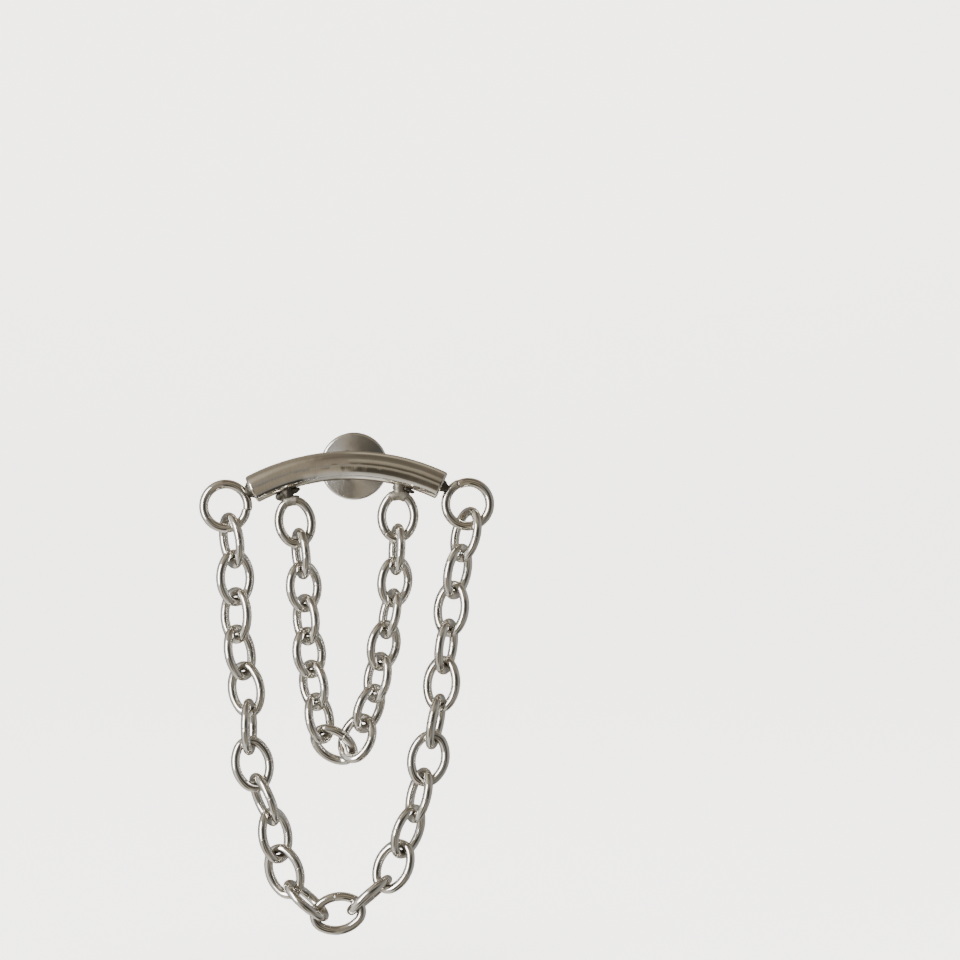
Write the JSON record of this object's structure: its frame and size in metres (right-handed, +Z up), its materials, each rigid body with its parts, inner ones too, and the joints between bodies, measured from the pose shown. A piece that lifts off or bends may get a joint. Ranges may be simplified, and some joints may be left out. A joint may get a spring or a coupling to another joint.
{
  "type": "flat back stud with a curved bar and two hanging chains",
  "caption": "Ear stud worn in the lobe: a low arched round bar on a flat-backed post, with a long and a short oval-link chain hung in swags between rings soldered along the bar.",
  "frame": {"origin": "where the post's axis meets the front of the skin", "axes": "+Z up, the front faces -Y, the post runs along +Y, and +X is to the right in the front view"},
  "size_m": [0.0123, 0.008, 0.0211],
  "materials": {
    "bar_steel": "mirror-polished stainless steel, duller and darker at the solder",
    "chain_steel": "polished stainless steel wire",
    "post_steel": "polished stainless steel"
  },
  "bodies": {
    "root": {"curved_bar": "bar_steel", "post": "post_steel", "outer_link_01": "chain_steel", "outer_link_02": "chain_steel", "outer_link_03": "chain_steel", "outer_link_04": "chain_steel", "outer_link_05": "chain_steel", "outer_link_06": "chain_steel", "outer_link_07": "chain_steel", "outer_link_08": "chain_steel", "outer_link_09": "chain_steel", "outer_link_10": "chain_steel", "outer_link_11": "chain_steel", "outer_link_12": "chain_steel", "outer_link_13": "chain_steel", "outer_link_14": "chain_steel", "outer_link_15": "chain_steel", "outer_link_16": "chain_steel", "outer_link_17": "chain_steel", "outer_link_18": "chain_steel", "outer_link_19": "chain_steel", "outer_link_20": "chain_steel", "outer_link_21": "chain_steel", "outer_link_22": "chain_steel", "outer_link_23": "chain_steel", "inner_link_01": "chain_steel", "inner_link_02": "chain_steel", "inner_link_03": "chain_steel", "inner_link_04": "chain_steel", "inner_link_05": "chain_steel", "inner_link_06": "chain_steel", "inner_link_07": "chain_steel", "inner_link_08": "chain_steel", "inner_link_09": "chain_steel", "inner_link_10": "chain_steel", "inner_link_11": "chain_steel", "inner_link_12": "chain_steel", "inner_link_13": "chain_steel", "inner_link_14": "chain_steel"}
  },
  "joints": []
}
